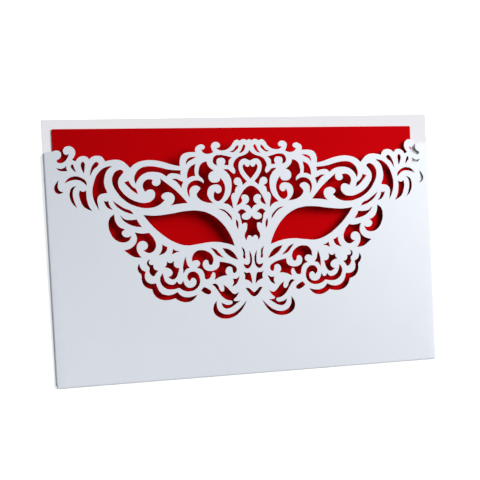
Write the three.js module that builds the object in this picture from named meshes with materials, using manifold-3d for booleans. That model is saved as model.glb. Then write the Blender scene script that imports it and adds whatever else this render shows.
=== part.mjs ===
import * as THREE from 'three';
import { mergeVertices } from 'three/addons/utils/BufferGeometryUtils.js';
import Module from 'manifold-3d';

// Laser-cut invitation: a pearl card pocket with a half-mask cut-out, and a plain red card in it.
// Millimetres. It lies on its back: X runs across it, Y from the bottom fold up, Z out of its front.

const pocketWidth = 185;        // over the two rolled side edges
const pocketHeight = 120;       // from the bottom fold to the top edge of the back panel
const sheet = 0.3;              // thickness of the pearl card
const foldGap = 0.6;            // clear space inside the bottom fold
const rollRadius = 1;           // outside of the rolled side edges
const leftRise = 0.7;           // how much further the front's left side stands off at its top
const rightRise = -0.4;         // its right side is pressed down there
const crownRise = 6.95;         // bow of the front panel at its open top, over its sides
const crownSpring = 1.25;       // how early the bow starts above the fold: 1 would be a straight rise
const frontHeight = 105.5;      // of the front panel, at its sides
const sideStart = 1.5;          // where the side edges and flaps begin above the fold

const flapWidth = 14;           // glue flaps on the rear
const flapTaper = 6;            // slope of the flap ends
const flapMargin = 1.5;         // flap ends to the ends of the side edges

const insertSidePlay = 13.5;    // the plain card is this much narrower than the pocket
const insertTopDrop = 6.5;      // and this much less high
const insertThickness = 0.3;
const insertClearance = 0.25;  // over the back panel
const insertSeat = 0.9;         // its low corner over the pocket's bottom edge
const insertCorner = 0.6;       // rounding of its corners
const insertSideGap = 9.9;      // its low right corner to the pocket's side
const insertLean = -0.46;       // degrees: it leans to the right

const patternShift = 0.45;      // the cut-out sits this far right of the middle
const cutWidening = 0.1;        // the laser takes this much beyond the drawn edge of an opening
const tipWidening = 0.2;        // and this much at a tip
const columns = 12;             // facets across the bow
const rollSteps = 3;            // facets in a rolled edge
const foldSteps = 4;            // facets in the bottom fold
const stations = [0.04, 0.16, 0.34, 0.56, 0.78, 1];     // shares of the bowed height
const turnPerFacet = 34;        // degrees of turn that one facet of a cut edge may take
const most = 4;                 // facets between two points of an outline
const cornerFacets = 3;         // in a rounded corner of the plain card
const smoothShare = 2.5614;     // span over handle length on an edge that runs smoothly
const weldDistance = 0.00001;   // corners this close are one corner
const crownMargin = 4.5;        // the panel is bowed up to this far over its sides' top
const reach = 20;               // how far the cutting shapes run past the sheet

const drawnWidth = 185;         // width and height of the front that the cut-out is drawn on
const drawnHeight = 105.5;

const halfWidth = pocketWidth / 2;
const backTop = 2 * sheet;                          // front face of the back panel
const frontBottom = backTop + foldGap;              // rear face of the front panel at the fold
const foldRadius = foldGap / 2 + sheet;
const rollStart = halfWidth - rollRadius;
const halfBack = halfWidth - sheet;
const crownTop = frontHeight + crownMargin;         // above every scroll of the top edge
const cutStart = backTop + foldGap / 4;             // the cutting shapes end here, over the back
const insertWidth = pocketWidth - insertSidePlay;
const insertHeight = pocketHeight - insertTopDrop;
const widthRatio = pocketWidth / drawnWidth;
const heightRatio = frontHeight / drawnHeight;

// The cut-out. Each point is its distance from the middle line and its height above the fold.
// Edges run smoothly through the points, apart from those marked as a tip. Sides are mirrored.
const tip = true;

const topEdge = [
  [92.3, 104.8], [91.9, 105.4], [90.8, 105.6], [88.9, 105.7], [86.8, 106.1], [85.3, 105.4],
  [85.0, 103.9], [85.7, 102.6], [87.0, 101.9, tip], [86.9, 100.9], [85.6, 100.5], [83.7, 101.1],
  [82.3, 102.7], [81.5, 104.4, tip], [83.0, 104.1], [84.1, 105.4], [83.7, 106.9], [82.0, 107.8],
  [80.0, 107.3], [78.8, 105.4], [79.2, 103.4], [80.4, 101.7, tip], [78.9, 101.0, tip],
  [77.6, 102.6], [75.4, 103.2], [73.7, 102.7], [72.9, 101.6, tip], [71.6, 102.7], [69.4, 103.2],
  [67.2, 102.5], [65.9, 100.5, tip], [63.6, 101.0], [60.8, 101.1], [58.2, 100.3], [56.4, 98.7],
  [55.1, 97.2, tip], [52.9, 99.0], [49.4, 100.2], [45.4, 100.4], [40.8, 99.6], [36.4, 98.2],
  [32.7, 97.3, tip], [32.6, 99.9], [31.6, 102.2], [29.3, 103.3], [25.3, 103.4, tip],
  [25.3, 105.1], [24.0, 106.4], [22.2, 106.8], [20.9, 105.8], [21.4, 104.7], [22.6, 104.4, tip],
  [21.7, 103.1], [20.1, 102.5], [18.6, 102.6], [17.0, 103.2, tip], [17.8, 104.8], [17.9, 106.5],
  [16.7, 107.6], [14.9, 107.6], [13.8, 106.4], [14.3, 105.3], [15.6, 105.1, tip], [14.4, 104.1],
  [12.6, 103.9], [10.3, 104.5], [8.6, 105.9], [7.5, 107.6], [6.0, 108.6], [4.5, 108.1, tip],
  [2.8, 108.8], [1.0, 108.2, tip], [0, 108.7],
];

const sideOpenings = {
  cornerBoat: [
    [87.2, 98.2, tip], [85.8, 97.85], [84.2, 98.1], [83.0, 98.9, tip], [83.2, 98.0],
    [82.8, 97.1, tip], [84.6, 97.0], [86.3, 97.4],
  ],
  firstDrop: [
    [80.4, 99.6], [79.9, 98.7], [79.6, 97.6], [78.8, 96.4, tip], [80.2, 97.5], [80.9, 98.9],
  ],
  secondDrop: [
    [75.7, 100.6], [75.1, 99.8], [75.2, 98.2], [75.6, 95.8, tip], [76.3, 97.8], [76.4, 100.0],
  ],
  thirdDrop: [
    [69.8, 100.3], [69.0, 99.8], [69.4, 98.8], [71.0, 97.5], [73.1, 94.5, tip], [72.3, 97.0],
    [71.3, 99.1],
  ],
  moon: [
    [86.7, 92.7, tip], [88.0, 91.2], [88.7, 89.3], [88.0, 87.6], [86.6, 87.1], [85.1, 87.6, tip],
    [86.6, 88.2], [87.3, 89.6], [87.2, 91.3],
  ],
  wingArch: [
    [84.1, 91.8, tip], [82.4, 93.4], [79.6, 94.3], [76.6, 93.4], [74.8, 91.7], [74.6, 90.3, tip],
    [75.8, 91.6], [78.2, 92.9], [81.2, 92.8],
  ],
  wingSlash: [
    [79.4, 90.1, tip], [80.9, 89.4], [82.0, 87.4], [82.0, 84.9], [81.0, 82.4], [79.4, 80.5, tip],
    [80.4, 82.9], [81.0, 85.8], [80.7, 88.4],
  ],
  wingBlade: [
    [77.6, 87.9, tip], [78.0, 86.3], [77.5, 83.6], [76.3, 81.0], [75.0, 80.0], [72.9, 78.9, tip],
    [74.2, 80.9], [74.9, 83.6], [75.1, 86.0], [75.1, 87.9, tip], [76.3, 87.3],
  ],
  longBlade: [
    [63.2, 98.3, tip], [66.0, 97.8], [69.2, 95.4], [71.2, 91.4], [72.1, 87.0], [71.4, 82.9],
    [69.4, 79.1, tip], [70.2, 81.6], [70.3, 84.3], [69.0, 86.0], [65.9, 86.7, tip], [66.9, 89.8],
    [66.8, 93.3], [65.4, 96.6],
  ],
  hookChannel: [
    [59.4, 96.5], [58.3, 95.7], [59.2, 94.4], [60.5, 92.6], [60.8, 89.8], [59.4, 86.9],
    [56.6, 84.0], [52.8, 82.0], [48.8, 81.3], [45.6, 82.5], [44.3, 84.9], [45.0, 87.0],
    [46.9, 87.5], [48.8, 86.7, tip], [49.7, 89.0], [48.6, 91.2], [46.9, 91.8], [45.5, 91.5, tip],
    [45.7, 89.9], [44.0, 88.7], [42.2, 89.3], [41.6, 90.5], [42.0, 91.9, tip], [38.8, 89.5],
    [34.8, 86.1], [32.2, 83.3], [30.0, 80.8, tip], [33.8, 80.6], [37.4, 80.1, tip], [35.8, 81.7],
    [35.7, 84.2], [37.6, 85.8], [40.2, 85.7], [41.8, 84.1], [41.4, 83.1], [40.4, 82.5, tip],
    [43.0, 80.3], [47.6, 79.2], [52.8, 80.1], [57.8, 82.8], [61.4, 87.0], [63.2, 91.6],
    [62.3, 94.9], [60.9, 96.1],
  ],
  hookSlot: [
    [57.7, 90.9, tip], [56.1, 91.3, tip], [55.5, 90.1], [54.2, 88.5], [53.1, 87.8],
    [52.4, 85.7, tip], [54.0, 86.9], [56.2, 89.1],
  ],
  browArch: [
    [53.1, 90.4, tip], [53.3, 92.6], [52.0, 95.5], [49.6, 97.2], [46.0, 97.6], [42.2, 97.0],
    [37.6, 95.8], [32.2, 95.1, tip], [32.7, 94.5], [32.4, 93.8, tip], [35.8, 94.4], [37.8, 94.1],
    [38.9, 93.2, tip], [40.8, 94.4], [44.4, 95.3], [48.4, 94.9], [51.2, 93.1],
  ],
  browLeaf: [
    [36.3, 91.6, tip], [34.8, 91.6], [33.2, 90.9], [31.7, 90.1, tip], [32.1, 89.1],
    [32.3, 87.8, tip], [33.4, 89.4], [34.8, 90.8],
  ],
  innerBrowSlit: [
    [29.9, 98.2, tip], [29.5, 99.5], [28.2, 100.8], [25.0, 101.1, tip], [26.8, 100.5], [28.6, 99.6],
  ],
  innerBrowBlade: [
    [25.7, 98.0, tip], [26.2, 95.4], [26.1, 92.9, tip], [27.6, 92.7], [29.4, 91.8, tip],
    [29.1, 94.6], [27.8, 96.8],
  ],
  innerBrowScroll: [
    [20.6, 98.9, tip], [19.9, 97.2], [18.9, 96.0], [17.5, 95.0, tip], [19.3, 93.8], [19.9, 91.8],
    [18.8, 89.8], [16.8, 89.3], [14.9, 89.8], [14.2, 91.3, tip], [12.9, 89.4], [12.3, 86.8],
    [12.9, 84.0], [14.3, 81.8], [15.7, 81.1], [17.1, 81.9], [17.5, 83.7], [16.9, 85.4, tip],
    [15.9, 84.4], [14.3, 84.9], [13.7, 86.5], [14.9, 88.4], [17.0, 88.7], [19.6, 87.6],
    [20.7, 85.0], [20.1, 82.5], [18.2, 80.4, tip], [21.8, 81.0], [24.4, 82.6], [25.3, 84.5],
    [24.4, 85.8], [23.6, 87.0], [24.6, 88.2], [26.6, 88.5], [28.6, 87.0], [28.9, 84.9],
    [28.5, 83.2, tip], [29.5, 85.2], [29.5, 87.7], [27.9, 89.9], [25.4, 90.6], [23.4, 90.1],
    [21.9, 89.0, tip], [22.0, 90.8], [22.9, 92.0], [23.9, 92.8], [23.9, 95.6], [23.1, 97.6],
    [21.9, 98.6],
  ],
  crownCurl: [
    [15.6, 97.4, tip], [16.9, 98.1], [17.3, 99.6], [16.3, 101.3], [14.4, 101.8], [11.8, 101.4],
    [8.7, 100.4, tip], [9.9, 99.6], [10.4, 97.3, tip], [11.9, 97.4, tip], [11.5, 99.2],
    [12.4, 100.5], [14.0, 100.7], [15.5, 100.1], [15.9, 98.7],
  ],
  crownSlot: [
    [9.2, 103.1, tip], [7.6, 103.8], [6.2, 105.5], [5.5, 105.9], [5.4, 105.3], [6.6, 103.9],
    [8.0, 103.1],
  ],
  crownInnerSlot: [
    [5.0, 102.6, tip], [3.9, 103.7], [3.1, 105.4], [2.6, 106.2], [2.1, 105.9], [2.4, 104.6],
    [3.4, 103.2],
  ],
  eye: [
    [49.9, 76.0, tip], [45.0, 75.4], [38.5, 75.9], [30.5, 76.95], [24.5, 76.8], [19.5, 75.1],
    [14.8, 71.4], [11.4, 66.7], [9.6, 62.9], [8.7, 60.6, tip], [13.5, 62.0], [19.5, 62.65],
    [26.0, 61.95], [31.0, 61.6], [36.0, 63.1], [41.0, 66.3], [46.0, 70.9],
  ],
  noseSlash: [
    [15.6, 77.7, tip], [13.4, 77.0], [11.0, 75.2], [9.8, 73.7], [9.4, 72.2, tip], [10.7, 73.9],
    [12.6, 76.0],
  ],
  noseSlit: [[7.3, 72.2, tip], [7.5, 70.8], [7.2, 69.2], [6.8, 68.0, tip], [6.6, 69.6], [6.9, 71.4]],
  lowerSlit: [[5.1, 59.7, tip], [4.2, 58.2], [3.9, 55.9], [4.0, 54.2], [4.4, 54.4], [4.5, 56.8]],
  nostrilHook: [
    [1.8, 57.7, tip], [1.0, 55.7], [0.7, 53.2], [1.3, 50.9], [2.8, 49.6], [4.0, 50.3],
    [4.5, 51.6, tip], [3.0, 51.1], [1.8, 51.7], [1.4, 53.6], [1.5, 55.6],
  ],
  nostrilBlade: [
    [4.6, 47.9, tip], [3.4, 47.4], [2.0, 47.4], [1.3, 45.6], [1.0, 42.5, tip], [2.4, 44.0],
    [4.1, 44.8, tip], [4.0, 46.4],
  ],
  outerLeaf: [
    [60.6, 76.2, tip], [58.6, 74.4], [56.0, 73.9], [53.3, 73.9, tip], [52.5, 72.5],
    [51.1, 70.9, tip], [54.2, 71.3], [57.4, 72.7], [59.4, 74.5],
  ],
  outerSlash: [
    [63.4, 82.8, tip], [61.2, 81.1], [58.6, 79.3], [55.6, 77.9], [54.6, 76.8, tip],
    [56.6, 77.3], [59.4, 78.6], [61.8, 80.5],
  ],
  outerSlot: [
    [67.2, 83.1, tip], [66.4, 82.6], [65.7, 82.8, tip], [65.3, 81.3], [63.9, 78.9, tip],
    [65.6, 79.9], [66.7, 81.4],
  ],
  templeCrescent: [
    [63.4, 76.7, tip], [65.1, 75.1], [65.8, 72.2], [65.0, 68.4], [62.8, 65.4], [59.8, 64.3],
    [57.2, 65.0], [56.1, 66.9, tip], [57.8, 66.2], [59.8, 67.0], [60.3, 68.6], [59.0, 69.9, tip],
    [61.2, 71.0], [62.8, 73.4],
  ],
  templeCurl: [
    [54.1, 68.2, tip], [51.0, 67.6], [48.1, 67.7, tip], [46.1, 65.3], [45.2, 62.4], [46.2, 59.9],
    [48.3, 59.0], [50.6, 60.2, tip], [49.0, 61.0], [48.7, 62.8], [50.2, 64.4], [52.2, 64.3],
    [53.7, 62.7], [53.9, 60.3], [52.9, 58.1], [51.8, 57.2, tip], [55.2, 57.6], [59.2, 60.6, tip],
    [56.4, 61.3], [54.4, 62.9], [53.4, 65.5],
  ],
  cheekSlot: [
    [42.0, 62.3, tip], [41.2, 61.6], [40.2, 61.1, tip], [40.6, 59.5], [41.9, 58.4],
    [43.9, 57.8, tip], [42.7, 59.1], [42.2, 60.6],
  ],
  cheekDart: [
    [37.3, 59.9, tip], [36.2, 59.2], [34.5, 59.1, tip], [36.2, 58.6], [38.0, 58.0, tip], [37.5, 59.0],
  ],
  cheekStar: [
    [41.4, 52.2, tip], [40.6, 52.9], [40.3, 54.4, tip], [39.4, 53.7], [38.3, 53.8],
    [37.2, 54.7, tip], [37.5, 53.2], [36.7, 51.7], [35.1, 51.2, tip], [35.6, 49.2], [36.7, 47.1],
    [38.0, 46.4], [39.9, 47.6, tip], [38.5, 48.1], [37.9, 49.5], [38.6, 50.9], [39.8, 51.7],
  ],
  outerStar: [
    [48.2, 55.8, tip], [49.3, 54.9], [49.2, 53.4], [48.3, 52.3], [48.5, 50.5], [47.8, 49.0],
    [46.6, 48.4], [45.9, 49.4], [44.9, 50.6, tip], [46.3, 51.2], [46.8, 52.2], [46.9, 53.2, tip],
    [48.2, 53.5], [48.8, 54.5],
  ],
  cheekThorn: [
    [31.8, 56.2, tip], [31.6, 54.2], [31.1, 52.4], [30.3, 51.3, tip], [31.8, 50.8],
    [32.9, 48.9, tip], [33.0, 51.4], [32.5, 54.2],
  ],
  cheekScroll: [
    [28.7, 54.2, tip], [28.5, 56.2], [26.9, 58.3], [24.4, 58.9], [21.4, 58.0], [19.4, 55.9],
    [19.2, 53.4], [20.2, 52.1], [21.0, 52.9], [21.3, 54.1], [22.6, 54.6], [23.8, 53.6],
    [24.0, 51.7], [22.9, 49.9], [20.6, 49.15], [18.2, 49.5], [16.4, 50.8], [15.8, 53.1, tip],
    [13.0, 52.6], [9.9, 51.5], [8.2, 49.9], [8.5, 48.3], [9.4, 47.9], [9.8, 48.7], [10.2, 50.4],
    [11.8, 51.0], [13.2, 49.9], [13.5, 48.4], [12.8, 47.1, tip], [15.4, 46.7], [18.7, 45.4, tip],
    [18.1, 46.9], [18.4, 48.3], [19.3, 48.8], [20.1, 47.8], [21.2, 46.0], [22.8, 45.8],
    [23.2, 47.8], [24.3, 50.1], [26.4, 51.2, tip], [25.1, 52.4], [25.4, 54.0], [26.9, 54.7],
  ],
  cheekLeaf: [
    [19.9, 59.8, tip], [17.7, 58.9], [16.2, 57.2], [14.2, 55.2, tip], [16.8, 56.3], [18.5, 58.3],
  ],
  noseLeaf: [
    [14.2, 59.4, tip], [11.6, 58.7], [9.3, 57.0], [7.4, 53.8, tip], [10.0, 55.1], [12.6, 57.1],
  ],
  lowerThorn: [
    [7.0, 46.0, tip], [8.2, 45.0], [9.8, 44.9, tip], [9.5, 43.4], [10.3, 41.7, tip], [8.7, 42.6],
    [7.6, 44.2],
  ],
  lowerOval: [
    [24.9, 40.6, tip], [23.7, 41.8, tip], [22.0, 41.0], [20.6, 39.6], [21.2, 38.8], [23.2, 39.2],
  ],
  lowerLeaf: [
    [19.8, 42.9, tip], [18.2, 43.1], [17.1, 41.9], [16.4, 40.1], [15.2, 39.3], [14.2, 40.1],
    [14.4, 42.4, tip], [12.9, 41.1], [11.3, 39.2], [9.6, 37.9], [8.4, 38.1], [7.5, 39.1, tip],
    [8.6, 36.9], [9.9, 35.7], [10.0, 34.9], [8.8, 34.5], [7.2, 34.8, tip], [9.4, 33.2],
    [11.6, 31.9], [13.6, 31.6], [15.0, 32.5], [15.7, 34.2, tip], [13.8, 33.2], [11.6, 33.1],
    [10.4, 34.0], [10.7, 34.9], [12.8, 35.5], [15.2, 37.2], [17.2, 40.1], [18.6, 42.1],
  ],
  chinCrescent: [
    [17.9, 35.2, tip], [19.3, 33.2], [19.4, 30.2], [17.4, 27.9], [13.8, 26.9], [10.4, 27.5],
    [7.4, 29.4], [5.2, 32.1], [3.6, 34.5, tip], [6.2, 31.9], [9.2, 29.6], [12.6, 28.6],
    [15.8, 29.3], [17.7, 31.3], [18.2, 33.4],
  ],
  lowerScallops: [
    [52.8, 54.1, tip], [53.7, 52.4], [53.3, 50.6], [52.2, 49.2], [52.1, 46.8], [51.1, 44.3],
    [49.4, 43.0], [47.5, 42.5, tip], [46.9, 40.3], [45.2, 38.3], [42.8, 37.25], [40.0, 37.15],
    [37.2, 37.9, tip], [35.2, 36.4], [32.0, 35.65], [29.2, 36.5], [27.1, 38.5, tip],
    [30.2, 37.7], [33.2, 37.9], [35.1, 39.0], [36.1, 40.2, tip], [38.4, 39.3], [41.4, 39.2],
    [43.9, 40.4], [45.3, 42.8], [46.0, 44.7, tip], [48.2, 44.8], [50.2, 46.0], [50.9, 48.2],
    [50.6, 50.4, tip], [52.0, 51.3], [52.9, 52.9],
  ],
  lowerScroll: [
    [42.6, 49.2, tip], [43.7, 47.2], [43.3, 44.6], [41.5, 42.6], [38.8, 41.9], [35.2, 42.6, tip],
    [33.4, 41.2], [30.8, 40.55], [28.0, 41.2], [26.0, 43.4], [25.7, 46.2], [27.0, 48.7],
    [28.8, 49.3], [30.8, 48.3], [31.2, 46.6], [30.1, 45.3, tip], [29.4, 46.5], [28.0, 46.5],
    [27.1, 45.3], [27.5, 43.2], [29.4, 42.0], [31.6, 42.3], [32.9, 43.8], [33.3, 45.3, tip],
    [34.8, 43.8], [36.3, 45.0, tip], [37.4, 43.95], [39.2, 43.85], [41.4, 45.2], [42.3, 47.2],
  ],
};

// These cross the middle line: their first and last points lie on it.
const middleOpenings = {
  heartFrame: [
    [0, 103.6, tip], [0.9, 102.4], [2.8, 101.4], [5.4, 100.5], [7.2, 98.8], [7.8, 96.8],
    [7.1, 95.3], [7.0, 93.9], [7.7, 93.1], [8.9, 93.7], [10.5, 95.1], [12.4, 95.4, tip],
    [10.3, 93.3], [9.1, 90.7], [9.0, 87.0], [9.7, 84.0], [11.2, 81.7], [12.9, 80.1, tip],
    [10.7, 79.4], [8.8, 77.6, tip], [9.2, 80.0], [9.6, 82.6], [8.9, 84.3], [7.9, 84.8, tip],
    [7.4, 86.7], [6.4, 87.7, tip], [7.8, 88.5], [8.0, 90.4], [6.4, 91.6], [4.6, 90.8],
    [4.0, 89.3], [3.8, 88.2, tip], [2.1, 89.6, tip], [3.9, 91.7], [5.4, 94.6], [5.6, 97.2],
    [4.6, 99.3], [2.7, 100.1], [0, 99.3, tip],
  ],
  heart: [
    [0, 97.0, tip], [0.5, 96.3], [1.4, 96.0], [2.2, 96.5], [2.8, 97.3, tip], [3.4, 96.5],
    [3.0, 94.9], [1.7, 92.9], [0, 91.0, tip],
  ],
  browArchway: [
    [0, 87.4], [2.6, 86.2], [4.8, 83.4], [6.2, 80.6], [6.9, 78.9, tip], [5.2, 79.8], [4.5, 81.1],
    [4.9, 82.4], [4.0, 83.6], [2.4, 83.6], [1.1, 82.4], [1.1, 80.5], [2.5, 79.0, tip],
    [1.1, 78.5], [0, 77.1, tip],
  ],
  noseVase: [
    [0, 73.6, tip], [1.0, 72.4], [2.9, 71.9], [4.6, 72.6], [4.9, 74.0], [4.0, 75.0],
    [2.8, 75.5, tip], [3.6, 76.4], [4.8, 76.8], [6.5, 75.5, tip], [5.6, 74.6], [5.3, 73.0],
    [4.9, 71.6], [4.6, 70.2, tip], [3.5, 70.8], [2.4, 70.5], [2.2, 69.2], [2.5, 67.4],
    [3.4, 65.6], [3.5, 63.9], [2.9, 62.8, tip], [2.5, 64.2], [1.4, 65.0], [0, 64.2, tip],
  ],
  chinChevron: [
    [0, 37.9, tip], [1.6, 39.4], [2.9, 40.5], [3.8, 40.5, tip], [2.8, 38.9], [1.2, 37.0], [0, 36.5],
  ],
};

const library = await Module();
library.setup();

// Joining and cutting

function solidOf(geometry) {
  const bare = geometry.clone();
  bare.deleteAttribute('normal');
  bare.deleteAttribute('uv');
  const merged = mergeVertices(bare, weldDistance);
  const vertProperties = new Float32Array(merged.attributes.position.array);
  const triVerts = new Uint32Array(merged.index.array);
  return new library.Manifold(new library.Mesh({ numProp: 3, vertProperties, triVerts }));
}

function geometryOf(solid) {
  const mesh = solid.getMesh();
  const geometry = new THREE.BufferGeometry();
  geometry.setAttribute('position', new THREE.BufferAttribute(mesh.vertProperties, 3));
  geometry.setIndex(new THREE.BufferAttribute(mesh.triVerts, 1));
  geometry.computeVertexNormals();
  return geometry;
}

function plate(outlines, bottom, top) {
  const shapes = outlines.map((outline) => new THREE.Shape(outline));
  const geometry = new THREE.ExtrudeGeometry(shapes, { depth: top - bottom, bevelEnabled: false });
  geometry.translate(0, 0, bottom);
  return geometry;
}

// Cut edges

function handle(point, before, after, towards) {
  const place = new THREE.Vector2(point[0], point[1]);
  if (point[2]) return towards.clone().sub(place).divideScalar(3).add(place);
  const arriving = place.clone().sub(before);
  const leaving = after.clone().sub(place);
  const span = towards.distanceTo(place);
  const heading = arriving.normalize().add(leaving.normalize());
  const side = towards === after ? 1 : -1;
  return heading.multiplyScalar(side * span / (heading.length() * smoothShare)).add(place);
}

function smoothEdge(points, closed) {
  const places = points.map(([x, y]) => new THREE.Vector2(x, y));
  const count = points.length;
  const spans = closed ? count : count - 1;
  const edge = [];
  for (let i = 0; i < spans; i += 1) {
    const next = (i + 1) % count;
    const before = places[(i + count - 1) % count];
    const beyond = places[(next + 1) % count];
    const out = handle(points[i], before, places[next], places[next]);
    const back = handle(points[next], places[i], beyond, places[i]);
    const curve = new THREE.CubicBezierCurve(places[i], out, back, places[next]);
    const turn = THREE.MathUtils.radToDeg(turnOf(curve));
    const facets = Math.min(most, Math.max(1, Math.round(turn / turnPerFacet)));
    for (let k = 0; k < facets; k += 1) edge.push(curve.getPoint(k / facets));
  }
  if (!closed) edge.push(places[count - 1]);
  return edge;
}

function turnOf(curve) {
  const start = curve.v1.clone().sub(curve.v0);
  const middle = curve.v2.clone().sub(curve.v1);
  const end = curve.v3.clone().sub(curve.v2);
  return Math.abs(start.angleTo(middle)) + Math.abs(middle.angleTo(end));
}

function mirrored(points) {
  return points.map(([x, y, isTip]) => [-x, y, isTip]);
}

function acrossMiddle(points) {
  return [...points, ...mirrored(points.slice(1, -1)).reverse()];
}

function placed(edge) {
  return edge.map(({ x, y }) => new THREE.Vector2(x * widthRatio + patternShift, y * heightRatio));
}

function widened(points) {
  const places = points.map(([x, y]) => new THREE.Vector2(x, y));
  const outwards = Math.sign(THREE.ShapeUtils.area(places));
  return points.map(([x, y, isTip], i) => {
    const before = places[(i + points.length - 1) % points.length];
    const after = places[(i + 1) % points.length];
    const along = after.clone().sub(before).normalize();
    const step = outwards * (isTip ? tipWidening : cutWidening);
    return [x + along.y * step, y - along.x * step, isTip];
  });
}

function laceOutlines() {
  const closed = Object.values(middleOpenings).map(acrossMiddle);
  for (const points of Object.values(sideOpenings)) closed.push(points, mirrored(points));
  return closed.map((points) => placed(smoothEdge(widened(points), true)));
}

function aboveTopEdge() {
  const half = topEdge.slice(1);
  const left = mirrored(half);
  const right = topEdge.slice(1, -1).reverse();
  const edge = placed(smoothEdge([...left, ...right], false));
  const side = halfWidth + reach;
  const cornerSide = topEdge[0][0] * widthRatio;
  const cornerHeight = topEdge[0][1] * heightRatio;
  return [
    new THREE.Vector2(-side, cornerHeight),
    new THREE.Vector2(-cornerSide, cornerHeight),
    ...edge,
    new THREE.Vector2(cornerSide, cornerHeight),
    new THREE.Vector2(side, cornerHeight),
    new THREE.Vector2(side, crownTop + reach),
    new THREE.Vector2(-side, crownTop + reach),
  ];
}

// The bowed front with its rolled sides: one section carried from the fold to the open top

function bowShare(y) {
  const share = (y - foldRadius) / (crownTop - foldRadius);
  return share * (crownSpring - (crownSpring - 1) * share);
}

function frontSection(y) {
  const share = bowShare(y);
  const base = frontBottom + sheet;
  const left = base + leftRise * share;
  const right = base + rightRise * share;
  const over = [[-halfWidth, 0], ...rolledSide(left, rollRadius)];
  const under = [[-halfBack, 0], ...rolledSide(left, rollRadius - sheet)];
  for (let k = 0; k <= columns; k += 1) {
    const x = rollStart * ((2 * k) / columns - 1);
    const shoulder = left + (right - left) * (k / columns);
    const height = shoulder + crownRise * share * (1 - (x / rollStart) ** 2);
    over.push([x, height]);
    under.push([x, height - sheet]);
  }
  const flipped = (path) => path.reverse().map(([x, z]) => [-x, z]);
  over.push(...flipped(rolledSide(right, rollRadius)), [halfWidth, 0]);
  under.push(...flipped(rolledSide(right, rollRadius - sheet)), [halfBack, 0]);
  return [...over, ...under.reverse()];
}

function rolledSide(shoulder, radius) {
  const path = [];
  for (let k = 0; k < rollSteps; k += 1) {
    const angle = (Math.PI / 2) * (k / rollSteps);
    const height = shoulder - rollRadius + radius * Math.sin(angle);
    path.push([-rollStart - radius * Math.cos(angle), height]);
  }
  return path;
}

function loft(sections, heights) {
  const count = sections[0].length;
  const positions = [];
  sections.forEach((section, row) => {
    for (const [x, z] of section) positions.push(x, heights[row], z);
  });
  const faces = [];
  for (let row = 0; row + 1 < sections.length; row += 1) {
    for (let i = 0; i < count; i += 1) {
      const next = (i + 1) % count;
      const a = row * count + i;
      const b = row * count + next;
      faces.push(a, b, a + count, b, b + count, a + count);
    }
  }
  const contour = sections[0].map(([x, z]) => new THREE.Vector2(x, z));
  const last = (sections.length - 1) * count;
  for (const [a, b, c] of THREE.ShapeUtils.triangulateShape(contour, [])) {
    faces.push(a, b, c);
    faces.push(last + a, last + c, last + b);
  }
  const geometry = new THREE.BufferGeometry();
  geometry.setAttribute('position', new THREE.Float32BufferAttribute(positions, 3));
  geometry.setIndex(faces);
  return geometry;
}

function frontPanel() {
  const heights = [foldRadius];
  for (const share of stations) heights.push(foldRadius + (crownTop - foldRadius) * share);
  return solidOf(loft(heights.map(frontSection), heights));
}

function bottomFold() {
  const arc = new THREE.Shape();
  arc.absarc(0, 0, foldRadius, Math.PI / 2, (3 * Math.PI) / 2, false);
  arc.absarc(0, 0, foldRadius - sheet, (3 * Math.PI) / 2, Math.PI / 2, true);
  const settings = { depth: 2 * rollStart, bevelEnabled: false, curveSegments: 2 * foldSteps };
  const geometry = new THREE.ExtrudeGeometry(arc, settings);
  geometry.rotateX(Math.PI / 2);
  geometry.rotateZ(Math.PI / 2);
  geometry.translate(-rollStart, foldRadius, backTop - sheet + foldRadius);
  return solidOf(geometry);
}

function rectangle(left, right, bottom, top) {
  return [[left, bottom], [right, bottom], [right, top], [left, top]]
    .map(([x, y]) => new THREE.Vector2(x, y));
}

function glueFlap(side) {
  const bottom = sideStart + flapMargin;
  const top = frontHeight - flapMargin;
  const outline = [
    [side * halfBack, bottom],
    [side * (halfWidth - flapWidth), bottom + flapTaper],
    [side * (halfWidth - flapWidth), top - flapTaper],
    [side * halfBack, top],
  ].map(([x, y]) => new THREE.Vector2(x, y));
  return solidOf(plate([outline], 0, sheet));
}

function pocketGeometry() {
  const tall = frontBottom + crownRise + reach;
  const openings = solidOf(plate(laceOutlines(), cutStart, tall));
  const overTop = solidOf(plate([aboveTopEdge()], -reach, tall));
  const corners = [
    rectangle(-halfWidth - reach, -halfBack, -reach, sideStart),
    rectangle(halfBack, halfWidth + reach, -reach, sideStart),
  ];
  const belowSides = solidOf(plate(corners, -reach, tall));
  const front = frontPanel().subtract(overTop).subtract(belowSides).subtract(openings);
  const backOutline = rectangle(-halfBack, halfBack, foldRadius, pocketHeight);
  const back = solidOf(plate([backOutline], sheet, backTop));
  const pocket = front.add(back).add(bottomFold()).add(glueFlap(1)).add(glueFlap(-1));
  return geometryOf(pocket);
}

// The plain card, with its low right corner at its own origin

function insertGeometry() {
  const outline = new THREE.Shape();
  const r = insertCorner;
  outline.moveTo(-insertWidth + r, 0);
  outline.lineTo(-r, 0);
  outline.absarc(-r, r, r, -Math.PI / 2, 0, false);
  outline.lineTo(0, insertHeight - r);
  outline.absarc(-r, insertHeight - r, r, 0, Math.PI / 2, false);
  outline.lineTo(-insertWidth + r, insertHeight);
  outline.absarc(-insertWidth + r, insertHeight - r, r, Math.PI / 2, Math.PI, false);
  outline.lineTo(-insertWidth, r);
  outline.absarc(-insertWidth + r, r, r, Math.PI, (3 * Math.PI) / 2, false);
  const settings = { depth: insertThickness, bevelEnabled: false, curveSegments: cornerFacets };
  return new THREE.ExtrudeGeometry(outline, settings);
}

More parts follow.
